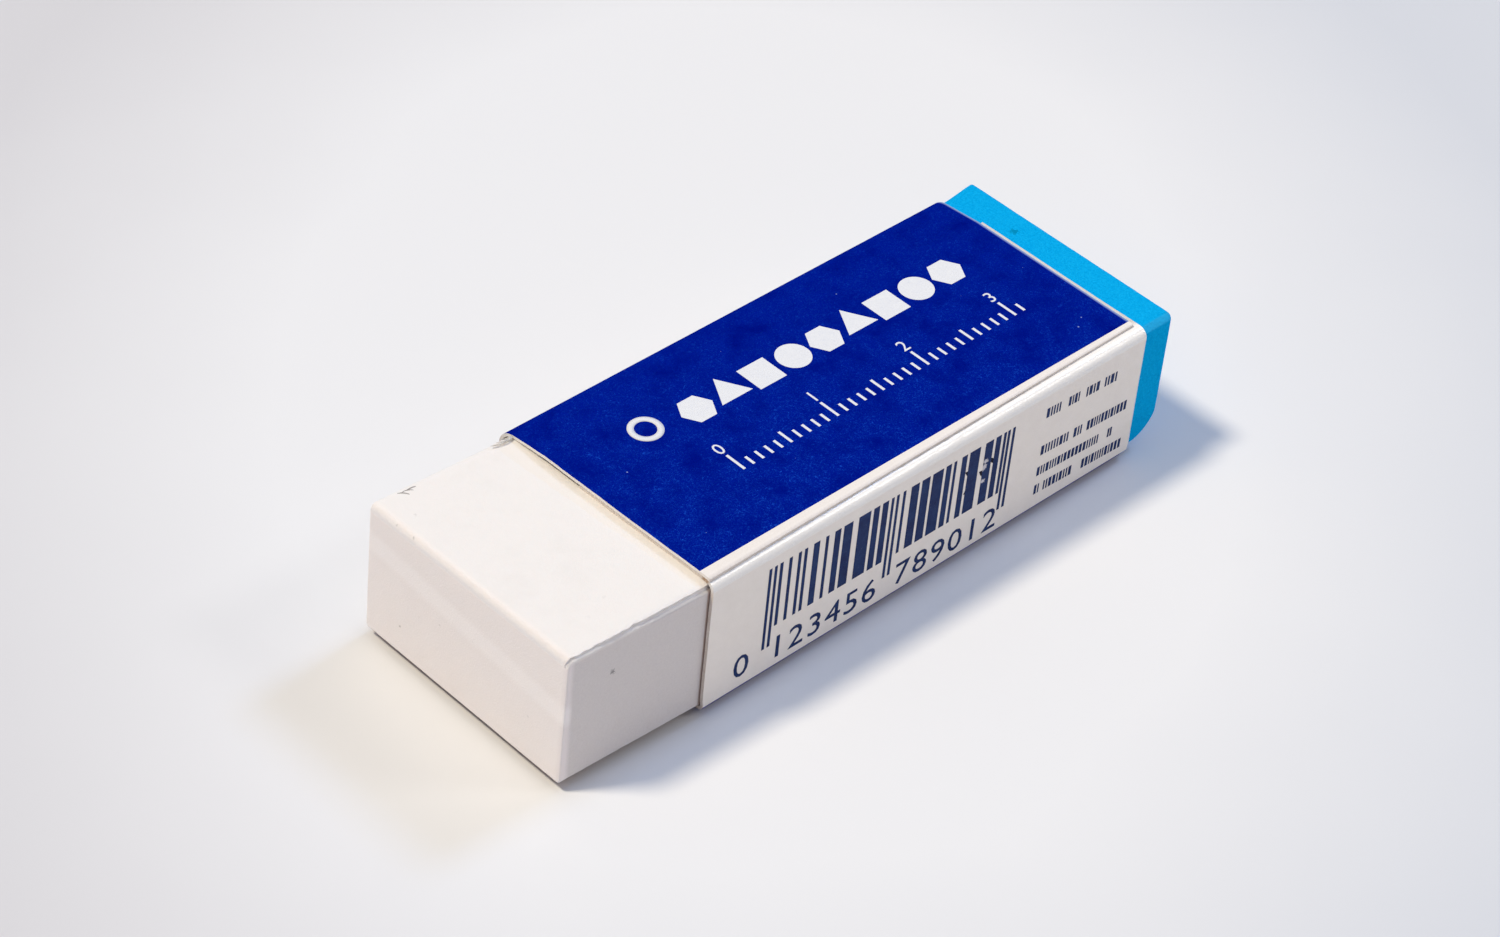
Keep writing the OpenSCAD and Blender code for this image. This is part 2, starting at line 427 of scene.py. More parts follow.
# Before the sleeve's mouth a warm band on the top is painted bounce light.
mouth_line = maths(tree, "MULTIPLY_ADD", axes["Y"], -mouth_slant, sleeve_mouth + mouth_slant * white_low.y)
bounce_edge = maths(tree, "MULTIPLY_ADD", smudge, 0.9, maths(tree, "SUBTRACT", mouth_line, 1.4))
bounce_band = between(tree, maths(tree, "SUBTRACT", axes["X"], bounce_edge), 0.0, 0.16, 0.0, 0.9)
colour = tinted(tree, product(tree, bounce_band, between(tree, axes["Z"], 11.9, 12.3)), colour, white_bounce_warm)
on_face = between(tree, axes["X"], white_face + 0.9, white_face + 0.5)
# A paler diagonal band across the end face is a painted highlight, where a faint ridge would catch the light.
band_line = maths(tree, "MULTIPLY_ADD", axes["Y"], -0.09, axes["Z"])
band_off = maths(tree, "ABSOLUTE", maths(tree, "SUBTRACT", band_line, 8.0))
face_highlight_band = product(tree, between(tree, band_off, 1.2, 0.5, 0.0, 0.7), on_face)
# The end face is tinted warm as painted lamp light.
colour = tinted(tree, product(tree, on_face, 0.65), colour, face_lamp_warm)
colour = tinted(tree, face_highlight_band, colour, white_highlight)
colour = tinted(tree, between(tree, painted(tree, "worn"), 0.1, 0.5, 0.0, 0.75), colour, white_rubbed)
# The lowest strip of the foot is darkened brown as painted contact shade.
foot_shade = between(tree, axes["Z"], white_low.z + 0.12, white_low.z + 0.02, 0.0, 0.9)
# Just before the sleeve's mouth the sides are darkened brown as painted shade of the gap under the card.
mouth_gap_shade = between(tree, axes["X"], sleeve_mouth - 0.25, sleeve_mouth - 0.1, 0.0, 0.75)
mouth_gap_shade = product(tree, mouth_gap_shade, between(tree, axes["Z"], 12.35, 12.0))
painted_shade = maths(tree, "MAXIMUM", foot_shade, mouth_gap_shade)
covered = between(tree, axes["X"], sleeve_mouth + 0.6, sleeve_mouth + 1.2, 1.0, 0.0)
colour = tinted(tree, product(tree, painted_shade, covered), colour, shade_brown)
for centre, size, strength in white_specks:
    speck = use_group(tree, speck_group, {"Place": place, "Centre": centre, "Size": size})
    colour = tinted(tree, product(tree, speck["Mask"], strength), colour, grit_dark)
dress(tree, shader, colour, grain["Height"], 0.02, span(tree, grain["Shade"], 0.55, 0.72))

white_along = [white_face + depth for depth in rounding(white_rounds["brow"], 6)]
white_along += evenly(white_face + white_rounds["brow"], sleeve_mouth + 1, shown_step)
white_along += evenly(sleeve_mouth + 1, bond, hidden_step)


def section_cuts(low, high, radii, step):
    """Stations from one long edge to the other, close together at each rounding."""
    ends = [cut for radius in set(radii) for cut in corner_cuts(radius)]
    inner = evenly(low + max(radii), high - max(radii), step)
    return merged([low + cut for cut in ends] + inner + [high - cut for cut in ends])


section_radii = [white_rounds[key] for key in ("near_under", "near_top", "far_top")]
block_across = section_cuts(white_low.y, white_high.y, section_radii, section_step)
block_up = section_cuts(white_low.z, white_high.z, section_radii, section_step)


def white_place(x, y, z):
    return moulded_point(x, y, z, white_low, white_high, white_face, white_rounds, white_wear)


white_bar = bar_skin("white_bar", merged(white_along), block_across, block_up, white_place, white_vinyl)
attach(white_bar, "eraser")
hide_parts("white_block")

# Blue end
# The other end is a harder vinyl, coloured light blue and filled with fine grit
# so that it takes off ink. It is moulded against the white block and bonded to
# it face to face. Rubbing has rolled away its foot and its near upper edge.

blue_low, blue_high = (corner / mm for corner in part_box("blue_end"))
blue_face = blue_high.x
blue_rounds = dict(white_rounds, corner=0.3, brow=0.25, foot=3.0)
blue_wear = dict(
    side=0.0, side_length=1, edge_left=0.3, far_left=0.35, edge_length=4,
    ragged=0, lean=0.05, knock=0.1, bevel=0.36,
)

blue_vinyl, tree, shader, place, grain = new_material(
    "blue_vinyl", 0.17, Roughness=0.8, Specular_IOR_Level=0.0
)
blue_clean = (0.006, 0.48, 0.93)
blue_deep = (0.0, 0.335, 0.75)
blue_pale = (0.02, 0.52, 0.9)
blue_bare = (0.04, 0.5, 0.9)
blue_speck = (0.0, 0.13, 0.2)
grit = result(tree, "ShaderNodeTexVoronoi", {"Vector": place, "Scale": 4.5})
colour = tinted(tree, grain["Height"], blue_clean, blue_deep)
colour = tinted(tree, between(tree, grit, 0.05, 0.3, 0.22, 0.0), colour, blue_pale)
colour = tinted(tree, between(tree, painted(tree, "worn"), 0.4, 1.0, 0.0, 0.6), colour, blue_bare)
speck = use_group(tree, speck_group, {"Place": place, "Centre": (30.25, 4.3, 12.5), "Size": 0.5})
colour = tinted(tree, product(tree, speck["Mask"], 0.5), colour, blue_speck)
gritty = maths(tree, "ADD", grain["Height"], grit)
dress(tree, shader, colour, gritty, 0.03, between(tree, grit, 0.0, 0.5, 0.85, 0.6))

blue_depths = rounding(blue_rounds["foot"], 12) + rounding(blue_rounds["brow"], 5)
blue_along = [blue_face - depth for depth in blue_depths]
blue_along += evenly(blue_low.x, blue_face - blue_rounds["foot"], hidden_step)


def blue_place(x, y, z):
    return moulded_point(x, y, z, blue_low, blue_high, blue_face, blue_rounds, blue_wear)


blue_bar = bar_skin("blue_bar", merged(blue_along), block_across, block_up, blue_place, blue_vinyl)
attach(blue_bar, "eraser")
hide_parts("blue_end")

# Card sleeve
# One strip of coated white card, printed dark blue over its top panel, a little
# way down the far side and over its underside. It is folded four times round the
# block, and its first edge is glued under the top panel as a lap. Both ends were
# cut with a worn knife, so the cuts wander, and the card's soft core shows there.

card = 0.3
glue_gap = 0.05
ink_lift = 0.015
edge_droop = 0.09
sleeve_low, sleeve_high = (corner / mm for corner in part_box("card_sleeve"))
sleeve_side = sleeve_high.y
panel_top = sleeve_high.z
lap_top = white_high.z + 0.05 + card
panel_thickness = panel_top - lap_top - 0.01
front_near = sleeve_mouth
front_skew = front_near - sleeve_low.x
back_near = sleeve_high.x
panel_back = back_near - 0.6

near_fold = white_rounds["near_top"] + 0.09
far_fold = white_rounds["far_top"] + 0.09
low_fold = 0.22
sleeve_inside = sleeve_side - card
near_top_centre = (near_fold - sleeve_inside, lap_top - card - near_fold)
far_top_centre = (sleeve_inside - far_fold, lap_top - card - far_fold)
near_low_centre = (low_fold - sleeve_inside, card + low_fold)
far_low_centre = (sleeve_inside - low_fold, card + low_fold)

lap_edge_front, lap_edge_back = sleeve_side - 8.9, sleeve_side - 5.1
seam_front, seam_back = 0.5 - sleeve_side, 1.1 - sleeve_side
print_near = 1.58 - sleeve_side
print_low = lap_top - 1.2
slope_start = lap_edge_back


def straight(start, end, step):
    """Points along a line, without its last one, and the way outwards there."""
    count = max(1, round(math.dist(start, end) / step))
    run, rise = end[0] - start[0], end[1] - start[1]
    out = Vector((rise, -run)).normalized()
    return [(Vector(start) + Vector((run, rise)) * (k / count), out) for k in range(count)]


def bend(centre, radius, start, end, count):
    """Points round a fold, without the last one. Angles are from +Y to +Z."""
    places = []
    for k in range(count):
        angle = math.radians(start + (end - start) * k / count)
        out = Vector((math.cos(angle), math.sin(angle)))
        places.append((Vector(centre) + out * radius, out))
    return places


far_outer = far_fold + card
slope_drop = math.atan2(panel_top - far_top_centre[1], slope_start - far_top_centre[0])
slope_reach = math.hypot(slope_start - far_top_centre[0], panel_top - far_top_centre[1])
slope_turn = math.degrees(slope_drop - math.acos(far_outer / slope_reach))
print_turn = math.degrees(math.asin((print_low - far_top_centre[1]) / far_outer))
under_turn = 190


def fold_end(centre, radius, angle):
    turn = math.radians(angle)
    return (centre[0] + radius * math.cos(turn), centre[1] + radius * math.sin(turn))


def strip_outline(share):
    """The strip's outer line at this share of the sleeve's length, lap first,
    in stretches that each have a name."""
    lap_edge = lap_edge_front + (lap_edge_back - lap_edge_front) * share
    seam = seam_front + (seam_back - seam_front) * share
    near_outer, low_outer = near_fold + card, low_fold + card
    lap_level = lap_top - glue_gap
    lap_run = lap_edge - near_top_centre[0]
    lap_places = [
        (Vector((lap_edge - lap_run * k / 26, lap_level + glue_gap * (k / 26) ** 6)), Vector((0, 1)))
        for k in range(26)
    ]
    margin_run = seam - print_near
    margin = [
        (Vector((print_near + margin_run * k / 6, panel_top - edge_droop * (k / 6) ** 4)), Vector((0, 1)))
        for k in range(7)
    ]
    return [
        ("lap", lap_places),
        ("near fold", bend(near_top_centre, near_outer, 90, 180, 12)),
        ("near side", straight((-sleeve_side, near_top_centre[1]), (-sleeve_side, near_low_centre[1]), 0.6)),
        ("near low fold", bend(near_low_centre, low_outer, 180, under_turn, 5)),
        ("underside", bend(near_low_centre, low_outer, under_turn, 270, 3)),
        ("underside", straight((near_low_centre[0], 0), (far_low_centre[0], 0), 0.7)),
        ("underside", bend(far_low_centre, low_outer, 270, 540 - under_turn, 3)),
        ("far low fold", bend(far_low_centre, low_outer, 540 - under_turn, 360, 5)),
        ("far side", straight((sleeve_side, far_low_centre[1]), (sleeve_side, far_top_centre[1]), 0.6)),
        ("far side", bend(far_top_centre, far_outer, 0, print_turn, 3)),
        ("print", bend(far_top_centre, far_outer, print_turn, slope_turn, 12)),
        ("print", straight(fold_end(far_top_centre, far_outer, slope_turn), (slope_start, panel_top), 0.5)),
        ("print", straight((slope_start, panel_top), (print_near, panel_top), 0.5)),
        ("margin", margin),
    ]


def front_cut(name, y, z):
    """Where the front cut crosses the strip, with its wander."""
    cut = front_near - front_skew * (y + sleeve_side) / (2 * sleeve_side)
    spot = Vector((3.1, y * 0.28, z * 0.3))
    wander = 0.05 * noise.noise(spot) + 0.018 * noise.noise(spot * 7)
    if name == "near side":
        wander -= 0.1 * (1 - z / near_top_centre[1])
    if name == "lap":
        wander += 0.05
    return cut + wander


def back_cut(name, y, z):
    """Where the back cut crosses the strip."""
    slant = (y - near_low_centre[0]) / (far_low_centre[0] - near_low_centre[0])
    cut = {
        "lap": back_near,
        "near fold": back_near,
        "near side": back_near + 0.12 * (1 - z / near_top_centre[1]),
        "near low fold": back_near,
        "underside": back_near + (panel_back - back_near) * slant,
    }.get(name, panel_back)
    return cut + 0.03 * noise.noise(Vector((9.7, y * 0.4, z * 0.4)))


card_coat, tree, shader, place, grain = new_material(
    "card_coat", 0.14, Roughness=0.45, Specular_IOR_Level=0.65, Coat_Roughness=0.16
)
coat_clean = (0.93, 0.87, 0.82)
coat_soiled = (0.79, 0.725, 0.68)
coat_rubbed_highlight = (1.0, 0.968, 0.93)
coat_shade = (0.2, 0.16, 0.14)
worn = painted(tree, "worn")
soil_and_shade = between(tree, painted(tree, "soil_and_shade"), 0.1, 1.0)
colour = tinted(tree, between(tree, grain["Shade"], 0.2, 1.0, 0.0, 0.3), coat_clean, coat_soiled)
# The rubbed near fold is painted paler, as bare card and as a painted highlight.
colour = tinted(tree, worn, colour, coat_rubbed_highlight)
# At the seam, the lap and the near low fold the coat is darkened brown as painted shade.
colour = tinted(tree, product(tree, soil_and_shade, span(tree, grain["Height"], 0.5, 1.0)), colour, coat_shade)
burnished = maths(tree, "MULTIPLY_ADD", worn, -0.3, span(tree, grain["Shade"], 0.42, 0.6))
tree.links.new(product(tree, worn, 0.8), shader["Coat Weight"])
dress(tree, shader, colour, grain["Height"], 0.012, burnished)

# Fibres are short bent hairs of pulp that show through ink and on bare card.
fibre_group, fibre_in, fibre_out = group(
    "fibres",
    [("Place", VECTOR, None), ("Size", FLOAT, 1.0), ("Width", FLOAT, 0.02), ("Amount", FLOAT, 0.5)],
    [("Mask", FLOAT), ("Patches", FLOAT)],
)
fibre_scale = maths(fibre_group, "DIVIDE", 1.0, fibre_in["Size"])
fibre_lines = []
for shift, stretch in ((0.0, 1.0), (17.0, 1.45), (31.0, 2.1)):
    moved = vectors(fibre_group, "ADD", {0: fibre_in["Place"], 1: (shift, shift * 0.7, shift * 1.3)})
    field = blotches(fibre_group, moved, product(fibre_group, fibre_scale, stretch), 1.5, distortion=1.2)
    off_line = maths(fibre_group, "ABSOLUTE", maths(fibre_group, "SUBTRACT", field, 0.5))
    line = between(fibre_group, off_line, fibre_in["Width"], 0.0)
    chopped = blotches(fibre_group, moved, product(fibre_group, fibre_scale, 2.3 * stretch))
    fibre_lines.append(product(fibre_group, line, between(fibre_group, chopped, 0.45, 0.62)))
patches = blotches(fibre_group, fibre_in["Place"], product(fibre_group, fibre_scale, 0.22), 3.0)
patch_low = maths(fibre_group, "SUBTRACT", 0.9, fibre_in["Amount"])
patch_share = between(fibre_group, patches, patch_low, maths(fibre_group, "ADD", patch_low, 0.3))
hairs = worst_of(fibre_group, fibre_lines)
fibre_group.links.new(product(fibre_group, hairs, patch_share), fibre_out["Mask"])
fibre_group.links.new(patch_share, fibre_out["Patches"])


def fibres_at(tree, place, size, width, amount):
    inputs = {"Place": place, "Size": size, "Width": width, "Amount": amount}
    return use_group(tree, fibre_group, inputs)


blue_print, tree, shader, place, grain = new_material(
    "blue_print", 0.14, Roughness=0.6, Specular_IOR_Level=0.0
)
ink_blue = (0.0001, 0.007, 0.25)
ink_deep = (0.0, 0.0035, 0.18)
ink_worn = (0.0006, 0.018, 0.4)
ink_hair = (0.01, 0.095, 0.64)
ink_chip = (0.3, 0.4, 0.7)
fibres = fibres_at(tree, place, 0.5, 0.024, 0.62)
axes = parts(tree, place)
colour = tinted(tree, between(tree, grain["Height"], 0.1, 0.9), ink_blue, ink_deep)
colour = tinted(tree, product(tree, fibres["Patches"], 0.3), colour, ink_worn)
rubbed_share = maths(tree, "MULTIPLY_ADD", axes["Y"], -0.035, product(tree, axes["X"], -0.012))
rubbed_share = between(tree, rubbed_share, -0.35, 0.45, 0.45, 1.0)
colour = tinted(tree, product(tree, fibres["Mask"], rubbed_share), colour, ink_hair)
cut_worn = between(tree, axes["X"], panel_back - 0.24, panel_back - 0.08, 0.0, 0.85)
colour = tinted(tree, cut_worn, colour, ink_chip)
chips = node(tree, "ShaderNodeTexVoronoi", {"Vector": place, "Scale": 0.9}).outputs
chip_number = result(tree, "ShaderNodeSeparateColor", {0: chips["Color"]})
chip_size = between(tree, chip_number, 0.86, 1.0, 0.0, 0.085)
chip_share = between(tree, maths(tree, "SUBTRACT", chips["Distance"], chip_size), 0.0, -0.03)
colour = tinted(tree, product(tree, chip_share, 0.8), colour, ink_chip)
fibrous = maths(tree, "ADD", grain["Height"], fibres["Mask"])
dress(tree, shader, colour, fibrous, 0.01, span(tree, grain["Shade"], 0.5, 0.7))

card_core, tree, shader, place, grain = new_material(
    "card_core", 0.09, Roughness=0.9, Specular_IOR_Level=0.1
)
core_clean = (0.96, 0.93, 0.9)
core_dirt_and_shade = (0.44, 0.29, 0.19)
core_grey = (0.42, 0.43, 0.45)
fibres = fibres_at(tree, place, 0.3, 0.06, 0.8)
axes = parts(tree, place)
# Below the top the cut edges darken brown, as dirt on the bare core and as painted shade of the gap against
# the block.
soil_and_shade = maths(tree, "MULTIPLY_ADD", between(tree, axes["Z"], 12.4, 11.6), 0.55, painted(tree, "soil_and_shade"))
soil_and_shade = product(tree, soil_and_shade, span(tree, grain["Shade"], 0.6, 1.0))
colour = tinted(tree, soil_and_shade, core_clean, core_dirt_and_shade)
colour = tinted(tree, between(tree, axes["Y"], 9.4, 10.8, 0.0, 0.4), colour, core_grey)
colour = tinted(tree, product(tree, fibres["Mask"], 0.35), colour, core_clean)
dress(tree, shader, colour, maths(tree, "ADD", grain["Height"], fibres["Mask"]), 0.008)


def hairy(name, grain_size, plain, hair, grain_most, fibres, depth, **uniform):
    """A bare card whose grain and fibres, given by size, width and amount, show in
    a second colour."""
    made, tree, shader, place, grain = new_material(name, grain_size, **uniform)
    colour = tinted(tree, span(tree, grain["Shade"], 0.0, grain_most), plain, hair)
    mask = fibres_at(tree, place, *fibres)["Mask"]
    dress(tree, shader, tinted(tree, product(tree, mask, 0.5), colour, hair), grain["Height"], depth)
    return made


inside_plain = (0.62, 0.59, 0.55)
inside_hair = (0.45, 0.41, 0.36)
card_inside = hairy(
    "card_inside", 0.15, inside_plain, inside_hair, 0.3, (0.9, 0.03, 0.8), 0.02,
    Roughness=0.9, Specular_IOR_Level=0.1,
)

along_count = 110
soil_plain = 0.1
# The lap and the margin are darkened as painted shade of the gap under the panel and of the seam; the plain
# value is light dirt.
part_soil_and_shade = {"near fold": 0.0, "lap": 0.5, "margin": 0.16, "print": 0.05}
seam_shade = (0.45, 0.27, 0.12)
fold_worn_and_highlit = 0.9
names = [name for name, places in strip_outline(0) for _ in places]
strip = bmesh.new()
worn_layer = strip.verts.layers.float.new("worn")
soil_and_shade_layer = strip.verts.layers.float.new("soil_and_shade")
outer_rows, inner_rows = [], []
for station in range(along_count + 1):
    share = station / along_count
    seam = seam_front + (seam_back - seam_front) * share
    places = [place for _, stretch in strip_outline(share) for place in stretch]
    outer, inner = [], []
    for name, (spot, out) in zip(names, places):
        thick = panel_thickness if name in ("print", "margin") else card
        start = front_cut(name, spot.x, spot.y)
        x = start + (back_cut(name, spot.x, spot.y) - start) * share
        crinkle = 0
        if name == "near fold":
            middle = math.exp(-((x - 4) / 7) ** 2)
            crinkle = (0.014 + 0.045 * middle) * abs(noise.noise(Vector((x * 1.7, spot.x * 2, spot.y * 2))))
        swell = noise.noise(Vector((x * 0.3, spot.x * 0.3, spot.y * 0.3)))
        dent = ink_lift + crinkle + 0.003 * (1 + swell)
        for row, depth in ((outer, dent), (inner, thick + dent)):
            place = spot - out * depth
            vert = strip.verts.new(Vector((x, place.x, place.y)) * mm)
            vert[worn_layer] = fold_worn_and_highlit if name == "near fold" else 0
            vert[soil_and_shade_layer] = part_soil_and_shade.get(name, soil_plain)
            # Beside the seam the fold is darkened in a ragged line as painted shade of the seam.
            if name == "near fold":
                ragged = 0.5 + abs(noise.noise(Vector((x * 2.3, 0, 8))))
                vert[soil_and_shade_layer] = max(0, 0.7 * ragged * (1 - (seam - spot.x) / 0.16))
            # The near low fold darkens towards the floor as painted contact shade.
            if name == "near low fold":
                vert[soil_and_shade_layer] = soil_plain + 0.6 * (1 - spot.y / near_low_centre[1])
            row.append(vert)
    # The margin's last points at the seam and the lap's edge under it are darkened as painted shade.
    for steps_in, soil_and_shade in enumerate(seam_shade, 1):
        outer[-steps_in][soil_and_shade_layer] = soil_and_shade
    inner[-1][soil_and_shade_layer] = part_soil_and_shade["lap"]
    outer_rows.append(outer)
    inner_rows.append(inner)

COAT, PRINT, CORE, INSIDE = range(4)


def strip_face(corners, material):
    face = strip.faces.new(corners)
    face.material_index = material
    face.smooth = True


for outer, inner, outer_next, inner_next in zip(outer_rows, inner_rows, outer_rows[1:], inner_rows[1:]):
    for k in range(len(names) - 1):
        coat = PRINT if names[k] in ("print", "underside") else COAT
        strip_face((outer[k], outer[k + 1], outer_next[k + 1], outer_next[k]), coat)
        strip_face((inner[k], inner_next[k], inner_next[k + 1], inner[k + 1]), INSIDE)
    for k in (0, -1):
        strip_face((outer[k], outer_next[k], inner_next[k], inner[k]), CORE)
for k in range(len(names) - 1):
    for outer, inner in ((outer_rows[0], inner_rows[0]), (outer_rows[-1], inner_rows[-1])):
        strip_face((outer[k], outer[k + 1], inner[k + 1], inner[k]), CORE)
bmesh.ops.recalc_face_normals(strip, faces=strip.faces)
sleeve = piece_of("folded_card", strip, card_coat, blue_print, card_core, card_inside)
sleeve.data.set_sharp_from_angle(angle=math.radians(40))
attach(sleeve, "sleeve")
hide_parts("card_sleeve")

# Panel print
# The marks on the panel are bare white card that the ink was laid round: a ring,
# a bold row of plain shapes and a scale in millimetres with its numbers. Each is
# a very thin leaf of the card's coat, set into the printed panel.

leaf = 0.03
leaf_level = panel_top - leaf / 2
bold_row_start = (-6.4, 3.5)
bold_row_pitch = 3.45
bold_row_count = 9
bold_height = 3.0
ring_centre = (-11.1, 4.2)
ring_outer = 1.45
ring_stroke = 0.55
scale_start = (-8.4, -3.9)
scale_ticks = 32
scale_stroke = 0.24

bare_clean = (0.84, 0.85, 0.87)
bare_hair = (0.62, 0.66, 0.78)
card_bare = hairy(
    "card_bare", 0.1, bare_clean, bare_hair, 0.25, (0.4, 0.05, 0.7), 0.005,
    Roughness=0.6, Specular_IOR_Level=0.2,
)

INTEGER = "NodeSocketInt"


def rule(name, inputs):
    """An empty tree of geometry nodes with named inputs, and its two ends."""
    made = bpy.data.node_groups.new(name, "GeometryNodeTree")
    for label, kind, value in inputs:
        socket = made.interface.new_socket(name=label, in_out="INPUT", socket_type=kind)
        socket.default_value = value
    made.interface.new_socket(name="Mesh", in_out="OUTPUT", socket_type="NodeSocketGeometry")
    return made, made.nodes.new("NodeGroupInput").outputs, made.nodes.new("NodeGroupOutput").inputs


def joined(tree, meshes):
    join = node(tree, "GeometryNodeJoinGeometry")
    for mesh in meshes:
        tree.links.new(mesh, join.inputs["Geometry"])
    return join.outputs["Geometry"]


def end_rule(tree, mesh, out, material):
    """Ends a tree in real meshes that have their material."""
    real = result(tree, "GeometryNodeRealizeInstances", {"Geometry": mesh})
    named = result(tree, "GeometryNodeSetMaterial", {"Geometry": real, "Material": material})
    tree.links.new(named, out["Mesh"])


def grown(name, tree, values, turn=Matrix.Identity(4)):
    """The plain object that a tree of geometry nodes makes with these values, in
    millimetres, turned and then brought to metres."""
    carrier = linked(name, bpy.data.meshes.new(name + "_seed"))
    modifier = carrier.modifiers.new("rule", "NODES")
    modifier.node_group = tree
    for socket in tree.interface.items_tree:
        if socket.item_type == "SOCKET" and socket.in_out == "INPUT" and socket.name in values:
            modifier[socket.identifier] = values[socket.name]
    shaped = carrier.evaluated_get(bpy.context.evaluated_depsgraph_get())
    mesh = bpy.data.meshes.new_from_object(shaped)
    carrier.modifiers.remove(modifier)
    mesh.transform(Matrix.Scale(mm, 4) @ turn)
    mesh.name = name
    carrier.data = mesh
    return carrier


def on_sleeve(piece):
    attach(piece, "sleeve")


def combined(tree, x, y, z):
    return result(tree, "ShaderNodeCombineXYZ", {"X": x, "Y": y, "Z": z})


def placed_at(tree, mesh, shift, turn=(0, 0, 0)):
    inputs = {"Geometry": mesh, "Translation": shift, "Rotation": turn}
    return result(tree, "GeometryNodeTransform", inputs)


def strewn(tree, points, inputs):
    """Instances on points. The points come as such, or as a count and a place."""
    if isinstance(points, tuple):
        points = result(tree, "GeometryNodePoints", {"Count": points[0], "Position": points[1]})
    return result(tree, "GeometryNodeInstanceOnPoints", {"Points": points, **inputs})


row_tree, row_in, row_out = rule(
    "row_of_shapes",
    [("Count", INTEGER, 9), ("Pitch", FLOAT, 3.0), ("Height", FLOAT, 3.0), ("Thickness", FLOAT, 0.03)],
)
shapes = []
for corners, turn, reach in ((32, 0, 0.5), (4, 45, 0.66), (3, 90, 0.62), (6, 0, 0.54)):
    radius = product(row_tree, row_in["Height"], reach)
    sizes = {"Vertices": corners, "Radius": radius, "Depth": row_in["Thickness"]}
    prism = result(row_tree, "GeometryNodeMeshCylinder", sizes)
    prism = placed_at(row_tree, prism, (0, 0, 0), (0, 0, math.radians(turn)))
    shapes.append(result(row_tree, "GeometryNodeGeometryToInstance", {"Geometry": prism}))
index = result(row_tree, "GeometryNodeInputIndex")
stop = combined(row_tree, product(row_tree, index, row_in["Pitch"]), 0.0, 0.0)
picked = {"Pick Instance": True, "Instance Index": maths(row_tree, "MODULO", index, 4.0)}
row = strewn(row_tree, (row_in["Count"], stop), {"Instance": joined(row_tree, shapes), **picked})
end_rule(row_tree, row, row_out, card_bare)
bold_row = grown(
    "printed_shapes",
    row_tree,
    {"Count": bold_row_count, "Pitch": bold_row_pitch, "Height": bold_height, "Thickness": leaf},
    Matrix.Translation((*bold_row_start, leaf_level)),
)
on_sleeve(bold_row)

ring_tree, ring_in, ring_out = rule(
    "flat_ring", [("Radius", FLOAT, 1.0), ("Stroke", FLOAT, 0.5), ("Thickness", FLOAT, 0.03)]
)
half_stroke = product(ring_tree, ring_in["Stroke"], 0.5)
round_sizes = {"Resolution": 56, "Radius": maths(ring_tree, "SUBTRACT", ring_in["Radius"], half_stroke)}
round_line = result(ring_tree, "GeometryNodeCurvePrimitiveCircle", round_sizes)
flat_sizes = {"Width": ring_in["Stroke"], "Height": ring_in["Thickness"]}
flat_profile = result(ring_tree, "GeometryNodeCurvePrimitiveQuadrilateral", flat_sizes)
ring_curves = {"Curve": round_line, "Profile Curve": flat_profile}
end_rule(ring_tree, result(ring_tree, "GeometryNodeCurveToMesh", ring_curves), ring_out, card_bare)
ring_values = {"Radius": ring_outer, "Stroke": ring_stroke, "Thickness": leaf}
on_sleeve(grown("printed_ring", ring_tree, ring_values, Matrix.Translation((*ring_centre, leaf_level))))

scale_tree, scale_in, scale_out = rule(
    "scale",
    [("Ticks", INTEGER, 31), ("Short", FLOAT, 1.0), ("Middle", FLOAT, 1.5), ("Long", FLOAT, 2.0),
     ("Stroke", FLOAT, 0.2), ("Thickness", FLOAT, 0.03)],
)
index = result(scale_tree, "GeometryNodeInputIndex")
fifth = maths(scale_tree, "LESS_THAN", maths(scale_tree, "MODULO", index, 5.0), 0.5)
tenth = maths(scale_tree, "LESS_THAN", maths(scale_tree, "MODULO", index, 10.0), 0.5)
middle_more = maths(scale_tree, "SUBTRACT", scale_in["Middle"], scale_in["Short"])
long_more = maths(scale_tree, "SUBTRACT", scale_in["Long"], scale_in["Middle"])
height = maths(scale_tree, "MULTIPLY_ADD", fifth, middle_more, scale_in["Short"])
height = maths(scale_tree, "MULTIPLY_ADD", tenth, long_more, height)
unit_size = combined(scale_tree, 1.0, 1.0, scale_in["Thickness"])
unit = placed_at(scale_tree, result(scale_tree, "GeometryNodeMeshCube", {"Size": unit_size}), (0, 0.5, 0))
stop = combined(scale_tree, index, 0.0, 0.0)
tick = {"Instance": unit, "Scale": combined(scale_tree, scale_in["Stroke"], height, 1.0)}
end_rule(scale_tree, strewn(scale_tree, (scale_in["Ticks"], stop), tick), scale_out, card_bare)
scale_values = {
    "Ticks": scale_ticks, "Short": 1.0, "Middle": 1.5, "Long": 2.0, "Stroke": scale_stroke, "Thickness": leaf,
}
on_sleeve(grown("printed_scale", scale_tree, scale_values, Matrix.Translation((*scale_start, leaf_level))))


